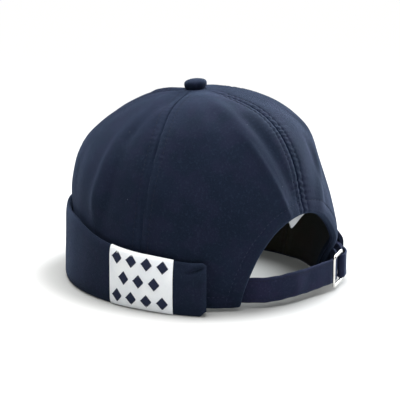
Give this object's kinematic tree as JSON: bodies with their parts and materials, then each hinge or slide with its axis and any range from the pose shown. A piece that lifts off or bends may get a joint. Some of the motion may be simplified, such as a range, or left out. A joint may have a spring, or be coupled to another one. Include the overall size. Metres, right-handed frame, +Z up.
{
  "type": "brimless cap with rolled cuff",
  "caption": "Brimless navy cotton cap with a covered button, a turned-up cuff, an arched opening at the back and a buckled adjusting strap.",
  "frame": {"origin": "on the floor, under the middle of the cap's bounding box", "axes": "+Z up, -Y towards the front of the cap, +X towards the wearer's left; the arch and the strap face +Y"},
  "size_m": [0.1866, 0.205, 0.1461],
  "materials": {
    "crown_twill": "washed cotton twill, navy, matt",
    "cuff_twill": "doubled cotton twill, dark navy, matt",
    "strap_twill": "edge-stitched cotton twill, dark navy, matt",
    "patch_weave": "woven white patch with a plain lozenge pattern in navy",
    "buckle_metal": "nickel-plated wire, satin to bright",
    "label_tape": "blank woven tape, off-white"
  },
  "bodies": {
    "root": {"crown_back_left": "crown_twill", "crown_side_left": "crown_twill", "crown_front": "crown_twill", "crown_side_right": "crown_twill", "crown_back_right": "crown_twill", "button": "crown_twill", "arch_facing": "crown_twill", "cuff": "cuff_twill", "cuff_patch": "patch_weave", "strap_left": "strap_twill", "strap_right": "strap_twill", "buckle": "buckle_metal", "inner_label": "label_tape"}
  },
  "joints": []
}
